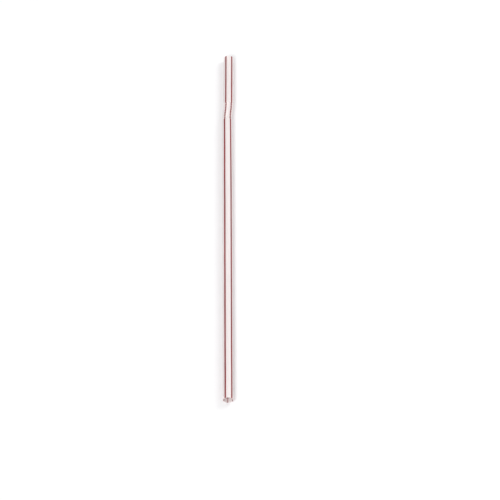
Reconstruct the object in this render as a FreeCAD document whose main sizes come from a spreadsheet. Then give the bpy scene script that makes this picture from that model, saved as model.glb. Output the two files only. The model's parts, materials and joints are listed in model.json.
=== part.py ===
"""Flexible drinking straw, lying on its side.

One thin plastic tube. Its long stem runs back along -Y from the folds, and its short mouth piece
runs forward from them. The folds lean the tube to the right and almost all the way back, so the
mouth piece runs on beside the line of the stem. All sizes are in millimetres and degrees.
"""
import FreeCAD, Part
import os
import Sketcher

# Driving dimensions: alias, value, what it measures
SIZES = [
    ("tube_diameter", 5.0, "outside diameter of the tube and of the crest of each fold"),
    ("wall", 0.15, "thickness of the tube's wall, measured along its radius"),
    ("stem_length", 161.5, "straight stem, from its open end to the first fold"),
    ("mouth_length", 28.5, "straight mouth piece, from the last fold to the lips' end"),
    ("fold_pitch", 1.0, "length of one fold along the middle of the tube"),
    ("fold_rise", 0.35, "steep flank of a fold, from its crest to its root, along the tube"),
    ("fold_depth", 0.50, "how far the root of a fold lies inside its crest"),
    ("near_folds", 5, "folds beside the stem"),
    ("near_bend", 6.9, "lean of the folds beside the stem, to the right"),
    ("far_folds", 5, "folds beside the mouth piece"),
    ("far_bend", 6.6, "lean of the folds beside the mouth piece, back to the left"),
]

RIGHT = 1
LEFT = -1
STEP_FOLDER = "parts"


def make_sheet(doc):
    """Fill the sheet that drives the model, one named size to a row."""
    sheet = doc.addObject("Spreadsheet::Sheet", "sizes")
    for row, (alias, value, meaning) in enumerate(SIZES, start=1):
        sheet.set(f"A{row}", str(value))
        sheet.setAlias(f"A{row}", alias)
        sheet.set(f"B{row}", meaning)
    doc.recompute()
    return sheet


def origin_plane(body, role):
    """The body's own origin plane of that role."""
    return next(plane for plane in body.Origin.OriginFeatures if plane.Role == role)


def place_on_bend(item, plane, side, bend_radius, turn):
    """Stand an item square to the tube, where the tube has turned by an angle from the plane.

    The tube leaves the plane along its -Z and turns towards its +X, or its -X on the left side.
    """
    item.AttachmentSupport = [(plane, "")]
    item.MapMode = "FlatFace"
    upright = FreeCAD.Vector(0, 1, 0)
    item.AttachmentOffset = FreeCAD.Placement(FreeCAD.Vector(), FreeCAD.Rotation(upright, 1))
    item.setExpression("AttachmentOffset.Base.x", f"{side} * {bend_radius} * (1 - cos({turn}))")
    item.setExpression("AttachmentOffset.Base.z", f"-{bend_radius} * sin({turn})")
    item.setExpression("AttachmentOffset.Rotation.Angle", f"-({side}) * {turn}")


def draw_ring(sketch, outer_radius):
    """Draw the wall's cut face: two circles round the middle, one wall apart."""
    inner_radius = f"{outer_radius} - sizes.wall"
    for name, radius in (("outer_radius", outer_radius), ("inner_radius", inner_radius)):
        circle = sketch.addGeometry(Part.Circle(FreeCAD.Vector(), FreeCAD.Vector(0, 0, 1), 1), False)
        sketch.addConstraint(Sketcher.Constraint("Coincident", circle, 3, -1, 1))
        limit = sketch.addConstraint(Sketcher.Constraint("Radius", circle, 1))
        sketch.renameConstraint(limit, name)
        sketch.setExpression(f"Constraints.{name}", radius)


def draw_bend_axis(sketch, side, bend_radius):
    """Draw the upright line that the folds turn about, as construction beside the ring."""
    foot = FreeCAD.Vector(side, 0, 0)
    head = FreeCAD.Vector(side, 1, 0)
    line = sketch.addGeometry(Part.LineSegment(foot, head), True)
    sketch.addConstraint(Sketcher.Constraint("Vertical", line))
    sketch.addConstraint(Sketcher.Constraint("PointOnObject", line, 1, -1))
    height = sketch.addConstraint(Sketcher.Constraint("DistanceY", line, 1, line, 2, 1))
    sketch.renameConstraint(height, "axis_height")
    sketch.setExpression("Constraints.axis_height", "sizes.tube_diameter")
    ends = (-1, 1, line, 1) if side == RIGHT else (line, 1, -1, 1)
    reach = sketch.addConstraint(Sketcher.Constraint("DistanceX", *ends, 1))
    sketch.renameConstraint(reach, "bend_radius")
    sketch.setExpression("Constraints.bend_radius", bend_radius)


def make_tube(body, name, plane, length, ahead):
    """Pad one straight length of tube from a ring, ahead of the plane or behind it."""
    sketch = body.newObject("Sketcher::SketchObject", f"{name}_ring")
    sketch.AttachmentSupport = [(plane, "")]
    sketch.MapMode = "FlatFace"
    draw_ring(sketch, "sizes.tube_diameter / 2")
    pad = body.newObject("PartDesign::Pad", name)
    pad.Profile = sketch
    pad.Reversed = ahead
    pad.setExpression("Length", length)
    return pad


def make_folds(body, name, plane, side):
    """Loft one fold, crest to root to crest, and repeat it round the bend.

    Returns the plane that closes the last fold.
    """
    bend = f"sizes.{name}_bend"
    count = f"sizes.{name}_folds"
    fold_turn = f"({bend} / {count})"
    bend_radius = f"(sizes.fold_pitch * 180 / (pi * {fold_turn}))"
    crest_radius = "sizes.tube_diameter / 2"
    root_radius = f"{crest_radius} - sizes.fold_depth"
    stations = (
        ("crest", "0", crest_radius),
        ("root", f"({fold_turn} * sizes.fold_rise / sizes.fold_pitch)", root_radius),
        ("next_crest", fold_turn, crest_radius),
    )
    rings = []
    for station, turn, radius in stations:
        ring = body.newObject("Sketcher::SketchObject", f"{name}_{station}")
        place_on_bend(ring, plane, side, bend_radius, turn)
        draw_ring(ring, radius)
        rings.append(ring)
    draw_bend_axis(rings[0], side, bend_radius)

    fold = body.newObject("PartDesign::AdditiveLoft", f"{name}_fold")
    fold.Profile = rings[0]
    fold.Sections = rings[1:]
    fold.Ruled = True

    folds = body.newObject("PartDesign::PolarPattern", f"{name}_folds")
    folds.Originals = [fold]
    folds.Axis = (rings[0], ["Axis0"])
    folds.Reversed = side == RIGHT
    folds.setExpression("Occurrences", count)
    folds.setExpression("Angle", f"{bend} - {fold_turn}")
    body.Tip = folds

    end_plane = body.newObject("PartDesign::Plane", f"{name}_end")
    place_on_bend(end_plane, plane, side, bend_radius, bend)
    return end_plane


def make_straw(doc):
    """The whole moulded tube: stem, two runs of folds, mouth piece."""
    body = doc.addObject("PartDesign::Body", "straw")
    body.Label = "straw"
    start_plane = origin_plane(body, "XZ_Plane")
    make_tube(body, "stem", start_plane, "sizes.stem_length", ahead=False)
    middle_plane = make_folds(body, "near", start_plane, RIGHT)
    end_plane = make_folds(body, "far", middle_plane, LEFT)
    make_tube(body, "mouth_piece", end_plane, "sizes.mouth_length", ahead=True)
    doc.recompute()
    return body


def lay_down(body):
    """Lay the straw on the floor, with the middle of its box over the origin."""
    box = body.Shape.optimalBoundingBox(False)
    body.Placement.Base = FreeCAD.Vector(-box.Center.x, -box.Center.y, -box.ZMin)


def check(doc, body):
    """Stop if any feature failed or the straw isn't one sound solid."""
    for item in doc.Objects:
        if "Invalid" in item.State or "Error" in item.State:
            raise RuntimeError(f"{item.Name} failed: {item.State}")
    if body.Shape.isNull() or not body.Shape.isValid() or len(body.Shape.Solids) != 1:
        raise RuntimeError(f"{body.Label} isn't one valid solid")


def main():
    doc = FreeCAD.newDocument("drinking_straw")
    make_sheet(doc)
    straw = make_straw(doc)
    lay_down(straw)
    doc.recompute()
    check(doc, straw)
    os.makedirs(STEP_FOLDER, exist_ok=True)
    straw.Shape.exportStep(os.path.join(STEP_FOLDER, f"{straw.Label}.step"))
    print(f"{straw.Label}: {straw.Shape.Volume:.2f} mm3, {len(straw.Shape.Faces)} faces")


main()
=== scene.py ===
"""Looks of the flexible drinking straw.

One thin milky tube with five red stripes lies on a white studio floor. The tube is one skin that
runs up the outside, over the cut mouth end and back down the bore. Lengths are in metres.
"""
import bpy
import json
import math
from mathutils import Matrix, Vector
from typing import NamedTuple


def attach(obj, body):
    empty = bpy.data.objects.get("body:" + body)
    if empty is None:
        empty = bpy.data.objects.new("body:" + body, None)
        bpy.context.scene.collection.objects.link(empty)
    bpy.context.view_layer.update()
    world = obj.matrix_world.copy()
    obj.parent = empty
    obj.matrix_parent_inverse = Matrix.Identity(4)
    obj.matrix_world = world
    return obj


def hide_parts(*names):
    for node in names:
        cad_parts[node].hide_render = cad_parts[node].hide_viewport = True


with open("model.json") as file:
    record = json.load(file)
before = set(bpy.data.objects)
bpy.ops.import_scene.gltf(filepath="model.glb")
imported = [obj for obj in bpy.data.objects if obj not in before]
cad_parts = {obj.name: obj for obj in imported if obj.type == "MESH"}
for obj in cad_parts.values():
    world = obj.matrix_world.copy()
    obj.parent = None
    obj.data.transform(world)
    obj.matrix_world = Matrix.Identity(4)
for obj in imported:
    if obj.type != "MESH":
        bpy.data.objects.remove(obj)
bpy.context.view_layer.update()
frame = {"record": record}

MM = 0.001


def mount(name):
    """One of the record's mounts."""
    return next(m for m in frame["record"]["mounts"] if m["name"] == name)


def bearing(vector):
    """Angle of a level vector from +Y towards +X."""
    return math.atan2(vector.x, vector.y)


def heading(angle):
    """Level unit vector at a bearing."""
    return Vector((math.sin(angle), math.cos(angle), 0))


def chord_share(turn):
    """Chord of an arc as a share of its length."""
    return math.sin(turn / 2) / (turn / 2) if turn else 1


# The tube, as the frame gives it
stem = mount("stem_outside")
mouth = mount("mouth_bore")
RADIUS = stem["dims"]["r_mm"] * MM
WALL = RADIUS - mount("stem_bore")["dims"]["r_mm"] * MM
STEM = stem["dims"]["length_mm"] * MM
MOUTH = mouth["dims"]["length_mm"] * MM
foot = Vector(stem["pos_m"])
tip = Vector(mouth["pos_m"])
stem_bearing = bearing(-Vector(stem["axis"]))
mouth_bearing = bearing(Vector(mouth["axis"]))

# The folds between stem and mouth piece lean the tube one way, then back, over two arcs of one length.
# The rise is the share of a fold's length that its steep flank takes.
FOLDS = 10
FOLD_DEPTH = 0.50 * MM
FOLD_RISE = 0.35
fold_chord = (tip - heading(mouth_bearing) * MOUTH) - (foot + heading(stem_bearing) * STEM)
net_turn = mouth_bearing - stem_bearing
lean = 2 * (bearing(fold_chord) - stem_bearing) - net_turn / 2
lean_back = net_turn - lean
arc_share = (chord_share(lean) + chord_share(lean_back)) * math.cos(net_turn / 4)
fold_run = 2 * fold_chord.length / arc_share
FOLD_PITCH = fold_run / FOLDS
RUNS = (
    (STEM, 0),
    (fold_run / 2, lean),
    (fold_run / 2, lean_back),
    (MOUTH, 0),
)
LENGTH = STEM + fold_run + MOUTH

# Small shapes of the skin. Each fold is a little shallower than FOLD_DEPTH, by a share that goes up
# and down along the folds as a sine does.
CREST_ROUND = 0.07 * MM
ROOT_ROUND = 0.05 * MM
EDGE_ROUND = 0.04 * MM
DEPTH_SPREAD = 0.05
DEPTH_START = 0.7
DEPTH_STEP = 2.4

# The mesh: points in each small arc, points round the tube, and rings along it
ARC_STEPS = 5
AROUND = 144
LONGEST_SPAN = 4 * MM
FLANK_RINGS = (0.3, 0.7)
MAP_MARGIN = 0.01

# How hard the plastic was worked, from 0 to 1. A crest counts as 1, and beside the folds it fades out
# over the reach.
WORKED_REACH = 0.20 * MM
ROOT_WORKED = 0.45
FLANK_WORKED = 0.08

# Stripes. A gap lies at the top of a tube that is rolled a little to its right. Near the open end the
# upper two lie further apart than the rest. Towards the mouth end they even out and turn a little left.
# Their half width, soft edge, bleed and wander are angles round the tube.
STRIPES = 5
STRIPE_ROLL = math.radians(6)
STRIPE_PARTING = math.radians(4.3)
STRIPE_TWIST = math.radians(2.7)
TWIST_START = 0.575 * LENGTH
TWIST_END = 0.875 * LENGTH
STRIPE_HALF = 0.38 * MM / RADIUS
STRIPE_SOFT = 0.05 * MM / RADIUS
BLEED_REACH = 0.45 * MM / RADIUS
STRIPE_WANDER = 0.012

# Share of a stripe's dye that shows in the bore, and share of the bleed's colour beside a stripe
BORE_DYE = 0.45
BLEED_SHARE = 0.16


class Corner(NamedTuple):
    """A corner of the wall's outline, before it is rounded."""
    along: float
    radius: float
    rounding: float
    worked: float
    outside: int


class Ring(NamedTuple):
    """A ring of the skin's mesh."""
    along: float
    radius: float
    worked: float
    outside: int


def middle(distance):
    """Point and bearing of the tube's middle line, at a length from its open end."""
    point = foot.copy()
    angle = stem_bearing
    left = distance
    for length, turn in RUNS:
        part = max(0, min(left, length))
        turned = turn * part / length
        point += heading(angle + turned / 2) * part * chord_share(turned)
        angle += turned
        left -= part
    return point, angle


def flat(item):
    """Place of a corner or a ring in the wall's outline."""
    return Vector((item.along, item.radius))


def outside_corners():
    """Corners of the wall's outside, from the open end to the mouth end."""
    corners = [
        Corner(0, RADIUS, EDGE_ROUND, 0, 1),
        Corner(STEM, RADIUS, CREST_ROUND, 1, 1),
    ]
    for fold in range(FOLDS):
        start = STEM + fold * FOLD_PITCH
        wave = math.sin(DEPTH_STEP * fold + DEPTH_START)
        root_radius = RADIUS - FOLD_DEPTH * (1 - DEPTH_SPREAD * (0.5 + 0.5 * wave))
        root = start + FOLD_RISE * FOLD_PITCH
        corners.append(Corner(root, root_radius, ROOT_ROUND, ROOT_WORKED, 1))
        corners.append(Corner(start + FOLD_PITCH, RADIUS, CREST_ROUND, 1, 1))
    corners.append(Corner(LENGTH, RADIUS, EDGE_ROUND, 0, 1))
    return corners


def rounded(corner, before, after):
    """Points of the arc that rounds one corner of a closed outline."""
    here = flat(corner)
    back = (flat(before) - here).normalized()
    ahead = (flat(after) - here).normalized()
    half_angle = back.angle(ahead) / 2
    reach = corner.rounding / math.tan(half_angle)
    centre = here + (back + ahead).normalized() * corner.rounding / math.sin(half_angle)
    start = here + back * reach - centre
    end = here + ahead * reach - centre
    sweep = start.angle(end)
    points = []
    for step in range(ARC_STEPS + 1):
        share = step / ARC_STEPS
        near = math.sin((1 - share) * sweep) / math.sin(sweep)
        far = math.sin(share * sweep) / math.sin(sweep)
        points.append(centre + start * near + end * far)
    return points


def ring_places(span):
    """Shares of a span that get rings: two on a fold's flank, or all along a straight tube."""
    if span < WALL:
        return ()
    if span < FOLD_PITCH:
        return FLANK_RINGS
    plain = span - 2 * WORKED_REACH
    steps = math.ceil(plain / LONGEST_SPAN)
    return [(WORKED_REACH + plain * step / steps) / span for step in range(steps + 1)]


def skin_rings():
    """Rings of the whole skin: up the outside, over the mouth end and back down the bore."""
    outside = outside_corners()
    bore = [corner._replace(radius=corner.radius - WALL, outside=0) for corner in reversed(outside)]
    loop = outside + bore
    rings = []
    for index, corner in enumerate(loop):
        before = loop[index - 1]
        after = loop[(index + 1) % len(loop)]
        for point in rounded(corner, before, after):
            rings.append(Ring(point.x, point.y, corner.worked, corner.outside))
        for share in ring_places(abs(after.along - corner.along)):
            along = corner.along + (after.along - corner.along) * share
            radius = corner.radius + (after.radius - corner.radius) * share
            worked = FLANK_WORKED if corner.radius != after.radius else 0
            rings.append(Ring(along, radius, worked, corner.outside))
    return rings


def build_skin():
    """The whole tube as one closed mesh, a grid of rings carried along the middle line."""
    rings = skin_rings()
    turns = [2 * math.pi * step / AROUND for step in range(AROUND)]
    verts = []
    straight = []
    for ring in rings:
        point, angle = middle(ring.along)
        across = Vector((math.cos(angle), -math.sin(angle), 0))
        for turn in turns:
            sideways = ring.radius * math.sin(turn)
            upward = ring.radius * math.cos(turn)
            verts.append(point + across * sideways + Vector((0, 0, upward)))
            rolled = turn - STRIPE_ROLL
            straight.append(ring.radius * math.sin(rolled) / MM)
            straight.append(ring.along / MM)
            straight.append(ring.radius * math.cos(rolled) / MM)
    faces = []
    for row in range(len(rings)):
        following = (row + 1) % len(rings)
        for step in range(AROUND):
            beside = (step + 1) % AROUND
            faces.append((
                row * AROUND + step,
                row * AROUND + beside,
                following * AROUND + beside,
                following * AROUND + step,
            ))
    mesh = bpy.data.meshes.new("striped_tube")
    mesh.from_pydata(verts, [], faces)
    outside = [ring.outside for ring in rings for _ in turns]
    worked = [ring.worked for ring in rings for _ in turns]
    mesh.attributes.new("straight_mm", "FLOAT_VECTOR", "POINT").data.foreach_set("vector", straight)
    mesh.attributes.new("outside", "FLOAT", "POINT").data.foreach_set("value", outside)
    mesh.attributes.new("worked", "FLOAT", "POINT").data.foreach_set("value", worked)
    unwrap(mesh, rings)
    mesh.shade_smooth()
    mesh.update()
    return mesh


def unwrap(mesh, rings):
    """A bake map: the outside and the bore side by side, with the turn across and the length upward."""
    travel = [0.0]
    for row, ring in enumerate(rings):
        following = rings[(row + 1) % len(rings)]
        travel.append(travel[-1] + (flat(following) - flat(ring)).length)
    half = travel[-1] / 2
    island_width = 0.5 - 2 * MAP_MARGIN
    island_height = 1 - 2 * MAP_MARGIN
    corners = ((0, 0), (1, 0), (1, 1), (0, 1))
    layer = mesh.uv_layers.new(name="OFBake")
    for row in range(len(rings)):
        island = int((travel[row] + travel[row + 1]) / 2 > half)
        heights = [(travel[row + end] - island * half) / half for end in (0, 1)]
        for step in range(AROUND):
            face = row * AROUND + step
            for corner, (round_step, end) in enumerate(corners):
                u = island / 2 + MAP_MARGIN + island_width * (step + round_step) / AROUND
                v = MAP_MARGIN + island_height * min(1, max(0, heights[end]))
                layer.data[face * 4 + corner].uv = (u, v)


def colour(red, green, blue):
    """Linear colour of an sRGB colour given in 0 to 255."""
    def linear(value):
        share = value / 255
        return share / 12.92 if share <= 0.04045 else ((share + 0.055) / 1.055) ** 2.4
    return (linear(red), linear(green), linear(blue), 1)


WHITE = (1, 1, 1, 1)

# Sockets of the Mix node: its share, and its colours, which follow those for numbers and vectors
MIX_SHARE = 0
MIX_FIRST = 6
MIX_SECOND = 7
MIX_RESULT = 2


class Nodes:
    """Adds and joins the nodes of one material or world."""

    def __init__(self, owner):
        owner.use_nodes = True
        self.tree = owner.node_tree
        self.tree.nodes.clear()

    def add(self, kind, inputs=(), **settings):
        """A node; each input is given as a number, a colour, or the socket that feeds it."""
        node = self.tree.nodes.new("ShaderNode" + kind)
        for name, value in settings.items():
            setattr(node, name, value)
        for key, value in dict(inputs).items():
            if isinstance(value, bpy.types.NodeSocket):
                self.tree.links.new(value, node.inputs[key])
            else:
                node.inputs[key].default_value = value
        return node

    def math(self, operation, first, second=0.0):
        """The result of a Math node."""
        return self.add("Math", {0: first, 1: second}, operation=operation).outputs[0]

    def spread(self, value, low, high, to_low, to_high):
        """A value carried smoothly from one range to another, and held at its ends."""
        inputs = {"Value": value, "From Min": low, "From Max": high, "To Min": to_low, "To Max": to_high}
        return self.add("MapRange", inputs, interpolation_type="SMOOTHSTEP").outputs["Result"]

    def mix(self, share, first, second):
        """Two colours mixed."""
        inputs = {MIX_SHARE: share, MIX_FIRST: first, MIX_SECOND: second}
        return self.add("Mix", inputs, data_type="RGBA").outputs[MIX_RESULT]

    def streaks(self, place, around, along, detail=2.0):
        """Noise drawn out along the tube: its grain per millimetre round it and along it."""
        grain = self.add("VectorMath", {0: place, 1: (around, along, around)}, operation="MULTIPLY")
        inputs = {"Vector": grain.outputs["Vector"], "Scale": 1.0, "Detail": detail}
        return self.add("TexNoise", inputs).outputs["Fac"]

    def attribute(self, name, output):
        """What the mesh holds under a name."""
        return self.add("Attribute", attribute_name=name).outputs[output]


# Colours of the plastic
BODY_PALE = colour(253, 248, 247)
BODY_WARM = colour(249, 242, 241)
BLEED = colour(226, 150, 152)
DYE_DARK = colour(134, 14, 26)
DYE_LIGHT = colour(154, 24, 36)
WHITENED = colour(250, 245, 244)

# Least and most whitening of worked plastic, least and most roughness, and what working adds to it
WHITENING = (0.20, 0.30)
SATIN = (0.24, 0.36)
WORKED_DULL = 0.14

# Grains of the noise: per millimetre round the tube, per millimetre along it, and detail
WANDER_GRAIN = (0.5, 0.05)
DRAW_GRAIN = (3.0, 0.02, 3.0)
DYE_GRAIN = (1.2, 0.03)
WORKED_GRAIN = (1.2, 3.0)
LINE_GRAIN = (9.0, 0.03)
PEEL_GRAIN = (1.1, 0.5)

# Ranges of the noise that count; the narrower, the harder its edges
WIDE = (0.2, 0.8)
MEDIUM = (0.3, 0.7)
NARROW = (0.35, 0.65)

# Part of the rim, from 0 at the bore to 1 outside, over which the dye grows to its full depth
DYED_RIM = (0.2, 0.9)

# Relief: strength and height of the draw lines and of the soft orange peel
LINE_STRENGTH = 0.35
LINE_HEIGHT = 0.01 * MM
PEEL_STRENGTH = 0.5
PEEL_HEIGHT = 0.02 * MM

# Share of the light that each face of the wall lets through, and how it bends light
MILKINESS = 0.3
REFRACTION = 1.49


def off_stripe(nodes, place):
    """How far round the tube the middle of the nearest stripe lies, as an angle."""
    parts = nodes.add("SeparateXYZ", {0: place})
    angle = nodes.math("ARCTAN2", parts.outputs["X"], parts.outputs["Z"])
    stretch = (parts.outputs["Y"], TWIST_START / MM, TWIST_END / MM)
    twist = nodes.spread(*stretch, 0, STRIPE_TWIST)
    most_parting = nodes.spread(*stretch, -STRIPE_PARTING, 0)
    parting = nodes.math("MULTIPLY", nodes.math("SINE", angle), most_parting)
    wander = nodes.spread(nodes.streaks(place, *WANDER_GRAIN), *WIDE, -STRIPE_WANDER, STRIPE_WANDER)
    turned = nodes.math("ADD", nodes.math("ADD", angle, twist), parting)
    shifted = nodes.math("ADD", turned, wander)
    half_gap = math.pi / STRIPES
    return nodes.math("SUBTRACT", half_gap, nodes.math("PINGPONG", shifted, half_gap))


def striped_colour(nodes, place, drawn, outside, worked):
    """Near white, with stripes that bleed a little, and whitened where the folds worked it."""
    distance = off_stripe(nodes, place)
    stripe = nodes.spread(distance, STRIPE_HALF - STRIPE_SOFT, STRIPE_HALF + STRIPE_SOFT, 1, 0)
    bleed = nodes.spread(distance, STRIPE_HALF, STRIPE_HALF + BLEED_REACH, BLEED_SHARE, 0)
    body = nodes.mix(nodes.spread(drawn, *MEDIUM, 0, 1), BODY_PALE, BODY_WARM)
    body = nodes.mix(bleed, body, BLEED)

    density = nodes.spread(nodes.streaks(place, *DYE_GRAIN), *MEDIUM, 0, 1)
    dye = nodes.mix(density, DYE_DARK, DYE_LIGHT)
    seen_dye = nodes.spread(outside, *DYED_RIM, BORE_DYE, 1)
    dyed = nodes.mix(nodes.math("MULTIPLY", stripe, seen_dye), body, dye)

    whitening = nodes.spread(nodes.streaks(place, *WORKED_GRAIN), *NARROW, *WHITENING)
    return nodes.mix(nodes.math("MULTIPLY", worked, whitening), dyed, WHITENED)


def satin_roughness(nodes, drawn, outside, worked):
    """Satin along the draw, duller where the folds worked it and on the rims of the cut ends."""
    satin = nodes.spread(drawn, *MEDIUM, *SATIN)
    dull = nodes.math("ADD", nodes.math("MULTIPLY", worked, WORKED_DULL), satin)
    rim = nodes.math("MULTIPLY", outside, nodes.math("SUBTRACT", 1.0, outside))
    return nodes.math("ADD", dull, rim)


def drawn_relief(nodes, place):
    """The normal of a surface with fine draw lines and a soft orange peel."""
    lines = nodes.add("Bump", {
        "Strength": LINE_STRENGTH,
        "Distance": LINE_HEIGHT,
        "Height": nodes.streaks(place, *LINE_GRAIN),
    })
    peel = nodes.add("Bump", {
        "Strength": PEEL_STRENGTH,
        "Distance": PEEL_HEIGHT,
        "Height": nodes.streaks(place, *PEEL_GRAIN),
        "Normal": lines.outputs["Normal"],
    })
    return peel.outputs["Normal"]


def plastic():
    """Milky polypropylene with stripes drawn in its outer skin."""
    material = bpy.data.materials.new("milky_plastic")
    nodes = Nodes(material)
    place = nodes.attribute("straight_mm", "Vector")
    outside = nodes.attribute("outside", "Fac")
    worked = nodes.attribute("worked", "Fac")
    drawn = nodes.streaks(place, *DRAW_GRAIN)
    base = striped_colour(nodes, place, drawn, outside, worked)
    normal = drawn_relief(nodes, place)
    gloss = nodes.add("BsdfPrincipled", {
        "Base Color": base,
        "Roughness": satin_roughness(nodes, drawn, outside, worked),
        "IOR": REFRACTION,
        "Normal": normal,
    })
    glow = nodes.add("BsdfTranslucent", {"Color": base, "Normal": normal})
    milky = nodes.add("MixShader", {0: MILKINESS, 1: gloss.outputs[0], 2: glow.outputs[0]})
    nodes.add("OutputMaterial", {"Surface": milky.outputs[0]})
    return material


def dress_straw():
    """Puts the finished tube in the place of the CAD straw."""
    mesh = build_skin()
    mesh.materials.append(plastic())
    piece = bpy.data.objects.new("striped_tube", mesh)
    bpy.context.scene.collection.objects.link(piece)
    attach(piece, "root")
    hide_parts("straw")


# The floor: its size, its colour, and the light that the camera sees it give off, which grows with the
# distance from the straw between two distances, so that the far floor is as white as the near one
FLOOR_SIZE = 3.0
FLOOR_WHITE = colour(236, 236, 237)
NEAR_LIFT = 0.12
FAR_LIFT = 0.55
NEAR_FLOOR = 0.25
FAR_FLOOR = 0.90

# Strength of the sky that lights the straw; the camera sees a sky of strength 1
SKY = 0.61

# Lamps: name, place and width in metres, and watts
LAMPS = (
    ("key", (-0.70, -1.55, 1.85), 1.0, 30),
    ("fill", (0.40, 0.25, 0.40), 0.34, 1.1),
)


def seen_share(nodes):
    """1 for rays from the camera, and for those that it sees mirrored or through the plastic."""
    path = nodes.add("LightPath")
    mirrored = nodes.math("MAXIMUM", path.outputs["Is Camera Ray"], path.outputs["Is Glossy Ray"])
    return nodes.math("MAXIMUM", mirrored, path.outputs["Is Transmission Ray"])


def floor_paper():
    """Matt white that keeps the straw's shadow."""
    material = bpy.data.materials.new("floor_paper")
    nodes = Nodes(material)
    matt = nodes.add("BsdfDiffuse", {"Color": FLOOR_WHITE})
    place = nodes.add("NewGeometry").outputs["Position"]
    away = nodes.add("VectorMath", {0: place}, operation="LENGTH").outputs["Value"]
    lift = nodes.spread(away, NEAR_FLOOR, FAR_FLOOR, NEAR_LIFT, FAR_LIFT)
    strength = nodes.math("MULTIPLY", seen_share(nodes), lift)
    shine = nodes.add("Emission", {"Color": WHITE, "Strength": strength})
    both = nodes.add("AddShader", {0: matt.outputs[0], 1: shine.outputs[0]})
    nodes.add("OutputMaterial", {"Surface": both.outputs[0]})
    return material


def lay_floor():
    """A plain white floor under the straw."""
    half = FLOOR_SIZE / 2
    corners = [(-half, -half, 0), (half, -half, 0), (half, half, 0), (-half, half, 0)]
    mesh = bpy.data.meshes.new("floor")
    mesh.from_pydata(corners, [], [(0, 1, 2, 3)])
    mesh.materials.append(floor_paper())
    floor = bpy.data.objects.new("floor", mesh)
    bpy.context.scene.collection.objects.link(floor)


def hang_lamp(name, place, size, power):
    """A soft square lamp that points at the middle of the floor."""
    lamp = bpy.data.lights.new(name, "AREA")
    lamp.size = size
    lamp.energy = power
    holder = bpy.data.objects.new(name, lamp)
    holder.location = place
    holder.rotation_euler = (-Vector(place)).to_track_quat("-Z", "Y").to_euler()
    bpy.context.scene.collection.objects.link(holder)


def light_studio():
    """An even white sky, a broad lamp high in front and to the left, and a small one to the right."""
    world = bpy.data.worlds.new("studio")
    bpy.context.scene.world = world
    nodes = Nodes(world)
    strength = nodes.spread(seen_share(nodes), 0, 1, SKY, 1)
    sky = nodes.add("Background", {"Color": WHITE, "Strength": strength})
    nodes.add("OutputWorld", {"Surface": sky.outputs[0]})
    for lamp in LAMPS:
        hang_lamp(*lamp)


# The photograph's view, in degrees and millimetres, and how far the camera sees, in metres
CAMERA_ELEVATION = 56
CAMERA_AZIMUTH = 0.354
CAMERA_DISTANCE = 1639.2
CAMERA_AIM = (10.38, -13.81)
CAMERA_LENS = 244.8
CAMERA_REACH = 10


def set_camera():
    """A long lens above the open end, with the straw left of the middle as in the photograph."""
    camera = bpy.data.objects.new("camera", bpy.data.cameras.new("camera"))
    bpy.context.scene.collection.objects.link(camera)
    bpy.context.scene.camera = camera
    elevation = math.radians(CAMERA_ELEVATION)
    level = heading(math.radians(CAMERA_AZIMUTH)) * math.cos(elevation)
    look = level - Vector((0, 0, math.sin(elevation)))
    camera.location = Vector((*CAMERA_AIM, 0)) * MM - look * CAMERA_DISTANCE * MM
    camera.rotation_euler = look.to_track_quat("-Z", "Y").to_euler()
    camera.data.lens = CAMERA_LENS
    camera.data.clip_end = CAMERA_REACH


set_camera()
dress_straw()
lay_floor()
light_studio()
bpy.context.scene.view_settings.view_transform = "Standard"
